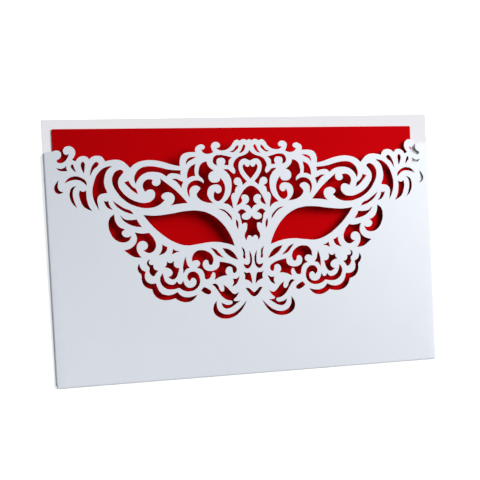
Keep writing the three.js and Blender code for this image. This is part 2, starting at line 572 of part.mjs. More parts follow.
const pearlCard = new THREE.MeshStandardMaterial({ color: 0xe6e9ee, roughness: 0.5, metalness: 0.05 });
const redCard = new THREE.MeshStandardMaterial({ color: 0xbe0014, roughness: 0.65, metalness: 0 });

const pocket = new THREE.Mesh(pocketGeometry(), pearlCard);
pocket.name = 'pocket_card';

const insert = new THREE.Mesh(insertGeometry(), redCard);
insert.name = 'insert_card';
insert.position.set(halfWidth - insertSideGap, insertSeat, backTop + insertClearance);
insert.rotation.z = THREE.MathUtils.degToRad(insertLean);

const invitation = new THREE.Group();
invitation.add(pocket, insert);
invitation.position.y = -pocketHeight / 2;

export default invitation;
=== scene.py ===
import math

import bpy
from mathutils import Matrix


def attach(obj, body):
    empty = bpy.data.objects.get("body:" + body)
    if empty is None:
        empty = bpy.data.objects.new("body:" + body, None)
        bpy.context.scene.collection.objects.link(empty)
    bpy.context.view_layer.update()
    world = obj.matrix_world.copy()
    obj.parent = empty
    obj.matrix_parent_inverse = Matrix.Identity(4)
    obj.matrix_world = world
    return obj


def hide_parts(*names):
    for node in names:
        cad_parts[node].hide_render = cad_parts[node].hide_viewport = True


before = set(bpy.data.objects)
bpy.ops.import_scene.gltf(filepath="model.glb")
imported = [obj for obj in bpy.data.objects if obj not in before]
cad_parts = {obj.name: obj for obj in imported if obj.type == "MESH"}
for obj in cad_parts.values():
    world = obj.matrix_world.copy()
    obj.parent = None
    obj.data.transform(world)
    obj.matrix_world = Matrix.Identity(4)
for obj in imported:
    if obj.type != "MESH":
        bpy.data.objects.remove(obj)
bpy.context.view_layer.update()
print("frame loaded")

# Laser-cut invitation: a pearl card pocket with a half-mask cut-out, and a plain red card in it.
# Shapes are drawn in millimetres. The object lies on its back, with its open top towards +Y.

mm = 0.001
tip = True
smoothAngle = math.radians(32)

# The pocket is one blank of card: front, back below it, and a glue flap on each side of the front.
pocket = {
    "width": 185.0,
    "height": 120.0,
    "card": 0.29,
    "foldRadius": 0.6,
    "rollRadius": 1.0,
    "flapRadius": 0.1,
    "wallRun": 1.0,
    "leftRise": 0.7,
    "rightRise": -0.4,
    "crownRise": 6.95,
    "crownSpring": 1.25,
    "crownTop": 110.0,
    "backRear": 0.3,
    "sideStart": 1.5,
    "sideEnd": 104.8,
    "foldSide": 91.8,
    "backSide": 92.05,
    "flapWidth": 13.7,
    "flapTaper": 6.0,
    "flapMargin": 1.5,
    "patternShift": 0.45,
    "cutWidening": 0.16,
    "tipWidening": 0.32,
    "edgeSteps": 6,
    "bowColumns": 44,
    "bowRows": 14,
    "rollSteps": 6,
    "foldSteps": 10,
    "weldDistance": 0.004,
    "shortestEdge": 0.002,
}

# The cut-out: each point is its distance from the middle line and its height above the fold.
# Edges run smoothly through the points, apart from those marked as a tip. Sides are mirrored.
topEdge = [
    [92.3, 104.8], [91.9, 105.4], [90.8, 105.6], [88.9, 105.7], [86.8, 106.1], [85.3, 105.4],
    [85.0, 103.9], [85.7, 102.6], [87.0, 101.9, tip], [86.9, 100.9], [85.6, 100.5], [83.7, 101.1],
    [82.3, 102.7], [81.5, 104.4, tip], [83.0, 104.1], [84.1, 105.4], [83.7, 106.9], [82.0, 107.8],
    [80.0, 107.3], [78.8, 105.4], [79.2, 103.4], [80.4, 101.7, tip], [78.9, 101.0, tip],
    [77.6, 102.6], [75.4, 103.2], [73.7, 102.7], [72.9, 101.6, tip], [71.6, 102.7], [69.4, 103.2],
    [67.2, 102.5], [65.9, 100.5, tip], [63.6, 101.0], [60.8, 101.1], [58.2, 100.3], [56.4, 98.7],
    [55.1, 97.2, tip], [52.9, 99.0], [49.4, 100.2], [45.4, 100.4], [40.8, 99.6], [36.4, 98.2],
    [32.7, 97.3, tip], [32.6, 99.9], [31.6, 102.2], [29.3, 103.3], [25.3, 103.4, tip],
    [25.3, 105.1], [24.0, 106.4], [22.2, 106.8], [20.9, 105.8], [21.4, 104.7], [22.6, 104.4, tip],
    [21.7, 103.1], [20.1, 102.5], [18.6, 102.6], [17.0, 103.2, tip], [17.8, 104.8], [17.9, 106.5],
    [16.7, 107.6], [14.9, 107.6], [13.8, 106.4], [14.3, 105.3], [15.6, 105.1, tip], [14.4, 104.1],
    [12.6, 103.9], [10.3, 104.5], [8.6, 105.9], [7.5, 107.6], [6.0, 108.6], [4.5, 108.1, tip],
    [2.8, 108.8], [1.0, 108.2, tip], [0, 108.7],
]

sideOpenings = {
    "cornerBoat": [
        [87.2, 98.2, tip], [85.8, 97.85], [84.2, 98.1], [83.0, 98.9, tip], [83.2, 98.0],
        [82.8, 97.1, tip], [84.6, 97.0], [86.3, 97.4],
    ],
    "firstDrop": [
        [80.4, 99.6], [79.9, 98.7], [79.6, 97.6], [78.8, 96.4, tip], [80.2, 97.5], [80.9, 98.9],
    ],
    "secondDrop": [
        [75.7, 100.6], [75.1, 99.8], [75.2, 98.2], [75.6, 95.8, tip], [76.3, 97.8], [76.4, 100.0],
    ],
    "thirdDrop": [
        [69.8, 100.3], [69.0, 99.8], [69.4, 98.8], [71.0, 97.5], [73.1, 94.5, tip], [72.3, 97.0],
        [71.3, 99.1],
    ],
    "moon": [
        [86.7, 92.7, tip], [88.0, 91.2], [88.7, 89.3], [88.0, 87.6], [86.6, 87.1], [85.1, 87.6, tip],
        [86.6, 88.2], [87.3, 89.6], [87.2, 91.3],
    ],
    "wingArch": [
        [84.1, 91.8, tip], [82.4, 93.4], [79.6, 94.3], [76.6, 93.4], [74.8, 91.7], [74.6, 90.3, tip],
        [75.8, 91.6], [78.2, 92.9], [81.2, 92.8],
    ],
    "wingSlash": [
        [79.4, 90.1, tip], [80.9, 89.4], [82.0, 87.4], [82.0, 84.9], [81.0, 82.4], [79.4, 80.5, tip],
        [80.4, 82.9], [81.0, 85.8], [80.7, 88.4],
    ],
    "wingBlade": [
        [77.6, 87.9, tip], [78.0, 86.3], [77.5, 83.6], [76.3, 81.0], [75.0, 80.0], [72.9, 78.9, tip],
        [74.2, 80.9], [74.9, 83.6], [75.1, 86.0], [75.1, 87.9, tip], [76.3, 87.3],
    ],
    "longBlade": [
        [63.2, 98.3, tip], [66.0, 97.8], [69.2, 95.4], [71.2, 91.4], [72.1, 87.0], [71.4, 82.9],
        [69.4, 79.1, tip], [70.2, 81.6], [70.3, 84.3], [69.0, 86.0], [65.9, 86.7, tip], [66.9, 89.8],
        [66.8, 93.3], [65.4, 96.6],
    ],
    "hookChannel": [
        [59.4, 96.5], [58.3, 95.7], [59.2, 94.4], [60.5, 92.6], [60.8, 89.8], [59.4, 86.9],
        [56.6, 84.0], [52.8, 82.0], [48.8, 81.3], [45.6, 82.5], [44.3, 84.9], [45.0, 87.0],
        [46.9, 87.5], [48.8, 86.7, tip], [49.7, 89.0], [48.6, 91.2], [46.9, 91.8], [45.5, 91.5, tip],
        [45.7, 89.9], [44.0, 88.7], [42.2, 89.3], [41.6, 90.5], [42.0, 91.9, tip], [38.8, 89.5],
        [34.8, 86.1], [32.2, 83.3], [30.0, 80.8, tip], [33.8, 80.6], [37.4, 80.1, tip], [35.8, 81.7],
        [35.7, 84.2], [37.6, 85.8], [40.2, 85.7], [41.8, 84.1], [41.4, 83.1], [40.4, 82.5, tip],
        [43.0, 80.3], [47.6, 79.2], [52.8, 80.1], [57.8, 82.8], [61.4, 87.0], [63.2, 91.6],
        [62.3, 94.9], [60.9, 96.1],
    ],
    "hookSlot": [
        [57.7, 90.9, tip], [56.1, 91.3, tip], [55.5, 90.1], [54.2, 88.5], [53.1, 87.8],
        [52.4, 85.7, tip], [54.0, 86.9], [56.2, 89.1],
    ],
    "browArch": [
        [53.1, 90.4, tip], [53.3, 92.6], [52.0, 95.5], [49.6, 97.2], [46.0, 97.6], [42.2, 97.0],
        [37.6, 95.8], [32.2, 95.1, tip], [32.7, 94.5], [32.4, 93.8, tip], [35.8, 94.4], [37.8, 94.1],
        [38.9, 93.2, tip], [40.8, 94.4], [44.4, 95.3], [48.4, 94.9], [51.2, 93.1],
    ],
    "browLeaf": [
        [36.3, 91.6, tip], [34.8, 91.6], [33.2, 90.9], [31.7, 90.1, tip], [32.1, 89.1],
        [32.3, 87.8, tip], [33.4, 89.4], [34.8, 90.8],
    ],
    "innerBrowSlit": [
        [29.9, 98.2, tip], [29.5, 99.5], [28.2, 100.8], [25.0, 101.1, tip], [26.8, 100.5], [28.6, 99.6],
    ],
    "innerBrowBlade": [
        [25.7, 98.0, tip], [26.2, 95.4], [26.1, 92.9, tip], [27.6, 92.7], [29.4, 91.8, tip],
        [29.1, 94.6], [27.8, 96.8],
    ],
    "innerBrowScroll": [
        [20.6, 98.9, tip], [19.9, 97.2], [18.9, 96.0], [17.5, 95.0, tip], [19.3, 93.8], [19.9, 91.8],
        [18.8, 89.8], [16.8, 89.3], [14.9, 89.8], [14.2, 91.3, tip], [12.9, 89.4], [12.3, 86.8],
        [12.9, 84.0], [14.3, 81.8], [15.7, 81.1], [17.1, 81.9], [17.5, 83.7], [16.9, 85.4, tip],
        [15.9, 84.4], [14.3, 84.9], [13.7, 86.5], [14.9, 88.4], [17.0, 88.7], [19.6, 87.6],
        [20.7, 85.0], [20.1, 82.5], [18.2, 80.4, tip], [21.8, 81.0], [24.4, 82.6], [25.3, 84.5],
        [24.4, 85.8], [23.6, 87.0], [24.6, 88.2], [26.6, 88.5], [28.6, 87.0], [28.9, 84.9],
        [28.5, 83.2, tip], [29.5, 85.2], [29.5, 87.7], [27.9, 89.9], [25.4, 90.6], [23.4, 90.1],
        [21.9, 89.0, tip], [22.0, 90.8], [22.9, 92.0], [23.9, 92.8], [23.9, 95.6], [23.1, 97.6],
        [21.9, 98.6],
    ],
    "crownCurl": [
        [15.6, 97.4, tip], [16.9, 98.1], [17.3, 99.6], [16.3, 101.3], [14.4, 101.8], [11.8, 101.4],
        [8.7, 100.4, tip], [9.9, 99.6], [10.4, 97.3, tip], [11.9, 97.4, tip], [11.5, 99.2],
        [12.4, 100.5], [14.0, 100.7], [15.5, 100.1], [15.9, 98.7],
    ],
    "crownSlot": [
        [9.2, 103.1, tip], [7.6, 103.8], [6.2, 105.5], [5.5, 105.9], [5.4, 105.3], [6.6, 103.9],
        [8.0, 103.1],
    ],
    "crownInnerSlot": [
        [5.0, 102.6, tip], [3.9, 103.7], [3.1, 105.4], [2.6, 106.2], [2.1, 105.9], [2.4, 104.6],
        [3.4, 103.2],
    ],
    "eye": [
        [49.9, 76.0, tip], [45.0, 75.4], [38.5, 75.9], [30.5, 76.95], [24.5, 76.8], [19.5, 75.1],
        [14.8, 71.4], [11.4, 66.7], [9.6, 62.9], [8.7, 60.6, tip], [13.5, 62.0], [19.5, 62.65],
        [26.0, 61.95], [31.0, 61.6], [36.0, 63.1], [41.0, 66.3], [46.0, 70.9],
    ],
    "noseSlash": [
        [15.6, 77.7, tip], [13.4, 77.0], [11.0, 75.2], [9.8, 73.7], [9.4, 72.2, tip], [10.7, 73.9],
        [12.6, 76.0],
    ],
    "noseSlit": [[7.3, 72.2, tip], [7.5, 70.8], [7.2, 69.2], [6.8, 68.0, tip], [6.6, 69.6], [6.9, 71.4]],
    "lowerSlit": [[5.1, 59.7, tip], [4.2, 58.2], [3.9, 55.9], [4.0, 54.2], [4.4, 54.4], [4.5, 56.8]],
    "nostrilHook": [
        [1.8, 57.7, tip], [1.0, 55.7], [0.7, 53.2], [1.3, 50.9], [2.8, 49.6], [4.0, 50.3],
        [4.5, 51.6, tip], [3.0, 51.1], [1.8, 51.7], [1.4, 53.6], [1.5, 55.6],
    ],
    "nostrilBlade": [
        [4.6, 47.9, tip], [3.4, 47.4], [2.0, 47.4], [1.3, 45.6], [1.0, 42.5, tip], [2.4, 44.0],
        [4.1, 44.8, tip], [4.0, 46.4],
    ],
    "outerLeaf": [
        [60.6, 76.2, tip], [58.6, 74.4], [56.0, 73.9], [53.3, 73.9, tip], [52.5, 72.5],
        [51.1, 70.9, tip], [54.2, 71.3], [57.4, 72.7], [59.4, 74.5],
    ],
    "outerSlash": [
        [63.4, 82.8, tip], [61.2, 81.1], [58.6, 79.3], [55.6, 77.9], [54.6, 76.8, tip],
        [56.6, 77.3], [59.4, 78.6], [61.8, 80.5],
    ],
    "outerSlot": [
        [67.2, 83.1, tip], [66.4, 82.6], [65.7, 82.8, tip], [65.3, 81.3], [63.9, 78.9, tip],
        [65.6, 79.9], [66.7, 81.4],
    ],
    "templeCrescent": [
        [63.4, 76.7, tip], [65.1, 75.1], [65.8, 72.2], [65.0, 68.4], [62.8, 65.4], [59.8, 64.3],
        [57.2, 65.0], [56.1, 66.9, tip], [57.8, 66.2], [59.8, 67.0], [60.3, 68.6], [59.0, 69.9, tip],
        [61.2, 71.0], [62.8, 73.4],
    ],
    "templeCurl": [
        [54.1, 68.2, tip], [51.0, 67.6], [48.1, 67.7, tip], [46.1, 65.3], [45.2, 62.4], [46.2, 59.9],
        [48.3, 59.0], [50.6, 60.2, tip], [49.0, 61.0], [48.7, 62.8], [50.2, 64.4], [52.2, 64.3],
        [53.7, 62.7], [53.9, 60.3], [52.9, 58.1], [51.8, 57.2, tip], [55.2, 57.6], [59.2, 60.6, tip],
        [56.4, 61.3], [54.4, 62.9], [53.4, 65.5],
    ],
    "cheekSlot": [
        [42.0, 62.3, tip], [41.2, 61.6], [40.2, 61.1, tip], [40.6, 59.5], [41.9, 58.4],
        [43.9, 57.8, tip], [42.7, 59.1], [42.2, 60.6],
    ],
    "cheekDart": [
        [37.3, 59.9, tip], [36.2, 59.2], [34.5, 59.1, tip], [36.2, 58.6], [38.0, 58.0, tip], [37.5, 59.0],
    ],
    "cheekStar": [
        [41.4, 52.2, tip], [40.6, 52.9], [40.3, 54.4, tip], [39.4, 53.7], [38.3, 53.8],
        [37.2, 54.7, tip], [37.5, 53.2], [36.7, 51.7], [35.1, 51.2, tip], [35.6, 49.2], [36.7, 47.1],
        [38.0, 46.4], [39.9, 47.6, tip], [38.5, 48.1], [37.9, 49.5], [38.6, 50.9], [39.8, 51.7],
    ],
    "outerStar": [
        [48.2, 55.8, tip], [49.3, 54.9], [49.2, 53.4], [48.3, 52.3], [48.5, 50.5], [47.8, 49.0],
        [46.6, 48.4], [45.9, 49.4], [44.9, 50.6, tip], [46.3, 51.2], [46.8, 52.2], [46.9, 53.2, tip],
        [48.2, 53.5], [48.8, 54.5],
    ],
    "cheekThorn": [
        [31.8, 56.2, tip], [31.6, 54.2], [31.1, 52.4], [30.3, 51.3, tip], [31.8, 50.8],
        [32.9, 48.9, tip], [33.0, 51.4], [32.5, 54.2],
    ],
    "cheekScroll": [
        [28.7, 54.2, tip], [28.5, 56.2], [26.9, 58.3], [24.4, 58.9], [21.4, 58.0], [19.4, 55.9],
        [19.2, 53.4], [20.2, 52.1], [21.0, 52.9], [21.3, 54.1], [22.6, 54.6], [23.8, 53.6],
        [24.0, 51.7], [22.9, 49.9], [20.6, 49.15], [18.2, 49.5], [16.4, 50.8], [15.8, 53.1, tip],
        [13.0, 52.6], [9.9, 51.5], [8.2, 49.9], [8.5, 48.3], [9.4, 47.9], [9.8, 48.7], [10.2, 50.4],
        [11.8, 51.0], [13.2, 49.9], [13.5, 48.4], [12.8, 47.1, tip], [15.4, 46.7], [18.7, 45.4, tip],
        [18.1, 46.9], [18.4, 48.3], [19.3, 48.8], [20.1, 47.8], [21.2, 46.0], [22.8, 45.8],
        [23.2, 47.8], [24.3, 50.1], [26.4, 51.2, tip], [25.1, 52.4], [25.4, 54.0], [26.9, 54.7],
    ],
    "cheekLeaf": [
        [19.9, 59.8, tip], [17.7, 58.9], [16.2, 57.2], [14.2, 55.2, tip], [16.8, 56.3], [18.5, 58.3],
    ],
    "noseLeaf": [
        [14.2, 59.4, tip], [11.6, 58.7], [9.3, 57.0], [7.4, 53.8, tip], [10.0, 55.1], [12.6, 57.1],
    ],
    "lowerThorn": [
        [7.0, 46.0, tip], [8.2, 45.0], [9.8, 44.9, tip], [9.5, 43.4], [10.3, 41.7, tip], [8.7, 42.6],
        [7.6, 44.2],
    ],
    "lowerOval": [
        [24.9, 40.6, tip], [23.7, 41.8, tip], [22.0, 41.0], [20.6, 39.6], [21.2, 38.8], [23.2, 39.2],
    ],
    "lowerLeaf": [
        [19.8, 42.9, tip], [18.2, 43.1], [17.1, 41.9], [16.4, 40.1], [15.2, 39.3], [14.2, 40.1],
        [14.4, 42.4, tip], [12.9, 41.1], [11.3, 39.2], [9.6, 37.9], [8.4, 38.1], [7.5, 39.1, tip],
        [8.6, 36.9], [9.9, 35.7], [10.0, 34.9], [8.8, 34.5], [7.2, 34.8, tip], [9.4, 33.2],
        [11.6, 31.9], [13.6, 31.6], [15.0, 32.5], [15.7, 34.2, tip], [13.8, 33.2], [11.6, 33.1],
        [10.4, 34.0], [10.7, 34.9], [12.8, 35.5], [15.2, 37.2], [17.2, 40.1], [18.6, 42.1],
    ],
    "chinCrescent": [
        [17.9, 35.2, tip], [19.3, 33.2], [19.4, 30.2], [17.4, 27.9], [13.8, 26.9], [10.4, 27.5],
        [7.4, 29.4], [5.2, 32.1], [3.6, 34.5, tip], [6.2, 31.9], [9.2, 29.6], [12.6, 28.6],
        [15.8, 29.3], [17.7, 31.3], [18.2, 33.4],
    ],
    "lowerScallops": [
        [52.8, 54.1, tip], [53.7, 52.4], [53.3, 50.6], [52.2, 49.2], [52.1, 46.8], [51.1, 44.3],
        [49.4, 43.0], [47.5, 42.5, tip], [46.9, 40.3], [45.2, 38.3], [42.8, 37.25], [40.0, 37.15],
        [37.2, 37.9, tip], [35.2, 36.4], [32.0, 35.65], [29.2, 36.5], [27.1, 38.5, tip],
        [30.2, 37.7], [33.2, 37.9], [35.1, 39.0], [36.1, 40.2, tip], [38.4, 39.3], [41.4, 39.2],
        [43.9, 40.4], [45.3, 42.8], [46.0, 44.7, tip], [48.2, 44.8], [50.2, 46.0], [50.9, 48.2],
        [50.6, 50.4, tip], [52.0, 51.3], [52.9, 52.9],
    ],
    "lowerScroll": [
        [42.6, 49.2, tip], [43.7, 47.2], [43.3, 44.6], [41.5, 42.6], [38.8, 41.9], [35.2, 42.6, tip],
        [33.4, 41.2], [30.8, 40.55], [28.0, 41.2], [26.0, 43.4], [25.7, 46.2], [27.0, 48.7],
        [28.8, 49.3], [30.8, 48.3], [31.2, 46.6], [30.1, 45.3, tip], [29.4, 46.5], [28.0, 46.5],
        [27.1, 45.3], [27.5, 43.2], [29.4, 42.0], [31.6, 42.3], [32.9, 43.8], [33.3, 45.3, tip],
        [34.8, 43.8], [36.3, 45.0, tip], [37.4, 43.95], [39.2, 43.85], [41.4, 45.2], [42.3, 47.2],
    ],
}

# These cross the middle line: their first and last points lie on it.
middleOpenings = {
    "heartFrame": [
        [0, 103.6, tip], [0.9, 102.4], [2.8, 101.4], [5.4, 100.5], [7.2, 98.8], [7.8, 96.8],
        [7.1, 95.3], [7.0, 93.9], [7.7, 93.1], [8.9, 93.7], [10.5, 95.1], [12.4, 95.4, tip],
        [10.3, 93.3], [9.1, 90.7], [9.0, 87.0], [9.7, 84.0], [11.2, 81.7], [12.9, 80.1, tip],
        [10.7, 79.4], [8.8, 77.6, tip], [9.2, 80.0], [9.6, 82.6], [8.9, 84.3], [7.9, 84.8, tip],
        [7.4, 86.7], [6.4, 87.7, tip], [7.8, 88.5], [8.0, 90.4], [6.4, 91.6], [4.6, 90.8],
        [4.0, 89.3], [3.8, 88.2, tip], [2.1, 89.6, tip], [3.9, 91.7], [5.4, 94.6], [5.6, 97.2],
        [4.6, 99.3], [2.7, 100.1], [0, 99.3, tip],
    ],
    "heart": [
        [0, 97.0, tip], [0.5, 96.3], [1.4, 96.0], [2.2, 96.5], [2.8, 97.3, tip], [3.4, 96.5],
        [3.0, 94.9], [1.7, 92.9], [0, 91.0, tip],
    ],
    "browArchway": [
        [0, 87.4], [2.6, 86.2], [4.8, 83.4], [6.2, 80.6], [6.9, 78.9, tip], [5.2, 79.8], [4.5, 81.1],
        [4.9, 82.4], [4.0, 83.6], [2.4, 83.6], [1.1, 82.4], [1.1, 80.5], [2.5, 79.0, tip],
        [1.1, 78.5], [0, 77.1, tip],
    ],
    "noseVase": [
        [0, 73.6, tip], [1.0, 72.4], [2.9, 71.9], [4.6, 72.6], [4.9, 74.0], [4.0, 75.0],
        [2.8, 75.5, tip], [3.6, 76.4], [4.8, 76.8], [6.5, 75.5, tip], [5.6, 74.6], [5.3, 73.0],
        [4.9, 71.6], [4.6, 70.2, tip], [3.5, 70.8], [2.4, 70.5], [2.2, 69.2], [2.5, 67.4],
        [3.4, 65.6], [3.5, 63.9], [2.9, 62.8, tip], [2.5, 64.2], [1.4, 65.0], [0, 64.2, tip],
    ],
    "chinChevron": [
        [0, 37.9, tip], [1.6, 39.4], [2.9, 40.5], [3.8, 40.5, tip], [2.8, 38.9], [1.2, 37.0], [0, 36.5],
    ],
}


def nothingSelected():
    if bpy.context.object and bpy.context.object.mode != "OBJECT":
        bpy.ops.object.mode_set(mode="OBJECT")
    bpy.ops.object.select_all(action="DESELECT")


def onlySelected(piece):
    nothingSelected()
    piece.select_set(True)
    bpy.context.view_layer.objects.active = piece


def applyModifier(piece, name):
    onlySelected(piece)
    bpy.ops.object.modifier_apply(modifier=name)


def mirrored(points):
    return [[-point[0], *point[1:]] for point in points]


def acrossMiddle(points):
    return points + mirrored(points[1:-1])[::-1]


def placed(points):
    return [[point[0] + pocket["patternShift"], *point[1:]] for point in points]


# Each opening is cut a little wider than its drawn points, and more so at its tips.
def widened(points):
    count = len(points)
    turns = [
        points[i][0] * points[(i + 1) % count][1] - points[(i + 1) % count][0] * points[i][1]
        for i in range(count)
    ]
    outwards = math.copysign(1, sum(turns))
    wider = []
    for i, point in enumerate(points):
        before = points[i - 1]
        after = points[(i + 1) % count]
        along = (after[0] - before[0], after[1] - before[1])
        step = pocket["tipWidening"] if len(point) > 2 else pocket["cutWidening"]
        step *= outwards / math.hypot(*along)
        wider.append([point[0] + along[1] * step, point[1] - along[0] * step, *point[2:]])
    return wider


def addSpline(curve, points):
    spline = curve.splines.new("BEZIER")
    spline.bezier_points.add(len(points) - 1)
    spline.use_cyclic_u = True
    for knot, point in zip(spline.bezier_points, points):
        isTip = len(point) > 2
        knot.co = (point[0], point[1], 0)
        knot.handle_left_type = "VECTOR" if isTip else "AUTO"
        knot.handle_right_type = "VECTOR" if isTip else "AUTO"


# The flat blank. Across the front it is measured along the card, so the sides unroll.
rollStart = pocket["width"] / 2 - pocket["rollRadius"]
quarter = math.pi / 2
rollEnd = quarter * pocket["rollRadius"]
wallEnd = rollEnd + pocket["wallRun"]
flapStart = wallEnd + quarter * pocket["flapRadius"]
foldLength = math.pi * pocket["foldRadius"]


def blankOutline():
    edge = rollStart + flapStart
    flapEdge = edge + pocket["flapWidth"]
    low = pocket["sideStart"] + pocket["flapMargin"]
    high = pocket["sideEnd"] - pocket["flapMargin"]
    foldEnd = pocket["foldRadius"] - foldLength
    backEnd = foldEnd - (pocket["height"] - pocket["foldRadius"])
    side = [
        [edge, pocket["sideEnd"], tip],
        [edge, high, tip],
        [flapEdge, high - pocket["flapTaper"], tip],
        [flapEdge, low + pocket["flapTaper"], tip],
        [edge, low, tip],
        [edge, pocket["sideStart"], tip],
        [pocket["foldSide"], pocket["sideStart"], tip],
        [pocket["foldSide"], foldEnd, tip],
        [pocket["backSide"], foldEnd, tip],
        [pocket["backSide"], backEnd, tip],
    ]
    top = placed(topEdge[1:-1])
    topLeft = placed(mirrored(topEdge[1:]))
    corner = [topEdge[0][0], topEdge[0][1], tip]
    return topLeft + top[::-1] + [corner] + side + mirrored(side)[::-1] + mirrored([corner])


def flatBlank():
    curve = bpy.data.curves.new("pearl_pocket", "CURVE")
    curve.dimensions = "2D"
    curve.fill_mode = "FRONT"
    curve.resolution_u = pocket["edgeSteps"]
    addSpline(curve, blankOutline())
    for points in sideOpenings.values():
        addSpline(curve, placed(widened(points)))
        addSpline(curve, placed(widened(mirrored(points))))
    for points in middleOpenings.values():
        addSpline(curve, placed(widened(acrossMiddle(points))))
    blank = bpy.data.objects.new("pearl_pocket", curve)
    bpy.context.collection.objects.link(blank)
    onlySelected(blank)
    bpy.ops.object.convert(target="MESH")
    return bpy.context.object


def cutAt(place, direction):
    bpy.ops.mesh.select_all(action="SELECT")
    bpy.ops.mesh.bisect(plane_co=place, plane_no=direction)


def creased(blank):
    onlySelected(blank)
    bpy.ops.object.mode_set(mode="EDIT")
    bpy.ops.mesh.select_all(action="SELECT")
    bpy.ops.mesh.remove_doubles(threshold=pocket["weldDistance"])
    acrossCard = (1, 0, 0)
    upCard = (0, 1, 0)
    columns = pocket["bowColumns"]
    for k in range(columns + 1):
        cutAt((rollStart * (2 * k / columns - 1), 0, 0), acrossCard)
    steps = pocket["rollSteps"]
    bends = [rollEnd * k / steps for k in range(1, steps + 1)]
    bends += [wallEnd + (flapStart - wallEnd) * k / steps for k in range(steps + 1)]
    for bend in bends:
        cutAt((rollStart + bend, 0, 0), acrossCard)
        cutAt((-rollStart - bend, 0, 0), acrossCard)
    folds = pocket["foldSteps"]
    for k in range(folds + 1):
        cutAt((0, pocket["foldRadius"] - foldLength * k / folds, 0), upCard)
    rows = pocket["bowRows"]
    for k in range(1, rows):
        cutAt((0, pocket["crownTop"] * k / rows, 0), upCard)
    bpy.ops.mesh.select_all(action="SELECT")
    bpy.ops.mesh.dissolve_degenerate(threshold=pocket["shortestEdge"])
    bpy.ops.object.mode_set(mode="OBJECT")


# From 0 at the fold to 1 at the top of the crown, and quicker at first.
def bowShare(height):
    share = (height - pocket["foldRadius"]) / (pocket["crownTop"] - pocket["foldRadius"])
    return share * (pocket["crownSpring"] - (pocket["crownSpring"] - 1) * share)


def foldedBelow(across, up):
    radius = pocket["foldRadius"]
    beyond = radius - up
    centre = pocket["backRear"] + radius
    if beyond <= foldLength:
        turn = beyond / radius
        return across, radius - radius * math.sin(turn), centre + radius * math.cos(turn)
    return across, radius + beyond - foldLength, pocket["backRear"]


def bowedFront(across, up):
    share = bowShare(up)
    fromLeft = min(max((across + rollStart) / (2 * rollStart), 0), 1)
    rise = pocket["leftRise"] + (pocket["rightRise"] - pocket["leftRise"]) * fromLeft
    shoulder = pocket["backRear"] + 2 * pocket["foldRadius"] + rise * share
    centre = shoulder - pocket["rollRadius"]
    beyond = abs(across) - rollStart
    if beyond <= 0:
        bow = 1 - (across / rollStart) ** 2
        return across, up, shoulder + pocket["crownRise"] * share * bow
    flapRadius = pocket["flapRadius"]
    flapCorner = rollStart + pocket["rollRadius"] - flapRadius
    if beyond <= rollEnd:
        turn = beyond / pocket["rollRadius"]
        side = rollStart + pocket["rollRadius"] * math.sin(turn)
        height = centre + pocket["rollRadius"] * math.cos(turn)
    elif beyond <= wallEnd:
        side = rollStart + pocket["rollRadius"]
        height = centre - (centre - flapRadius) * (beyond - rollEnd) / pocket["wallRun"]
    elif beyond <= flapStart:
        turn = (beyond - wallEnd) / flapRadius
        side = flapCorner + flapRadius * math.cos(turn)
        height = flapRadius - flapRadius * math.sin(turn)
    else:
        side = flapCorner - (beyond - flapStart)
        height = 0
    return math.copysign(side, across), up, height


def folded(blank):
    for vertex in blank.data.vertices:
        across, up = vertex.co.x, vertex.co.y
        if up < pocket["foldRadius"]:
            x, y, z = foldedBelow(across, up)
        else:
            x, y, z = bowedFront(across, up)
        vertex.co = (x * mm, (y - pocket["height"] / 2) * mm, z * mm)
    blank.data.update()


def pearlPocket():
    blank = flatBlank()
    print("blank drawn:", len(blank.data.vertices), "corners")
    creased(blank)
    print("blank creased:", len(blank.data.vertices), "corners")
    folded(blank)
    slots = [pearlMaterial(), cutEdgeMaterial(), insideMaterial()]
    for material in slots:
        blank.data.materials.append(material)
    solid = blank.modifiers.new("card", "SOLIDIFY")
    solid.thickness = pocket["card"] * mm
    solid.offset = -1  # the drawn face stays outside
    solid.use_rim = True
    solid.material_offset_rim = 1  # cut edges
    solid.material_offset = 2  # inside
    applyModifier(blank, solid.name)
    bpy.ops.object.shade_smooth_by_angle(angle=smoothAngle)
    print("pocket folded:", len(blank.data.polygons), "faces")
    return blank


# The plain card that stands in the pocket, leaning slightly to the right.

redCard = {
    "width": 171.5,
    "height": 113.5,
    "thickness": 0.3,
    "underside": 0.85,
    "seat": 0.9,
    "corner": 0.6,
    "cornerSteps": 5,
    "edgeRounding": 0.05,
    "edgeSteps": 2,
    "sideGap": 9.9,
    "lean": -0.46,
}


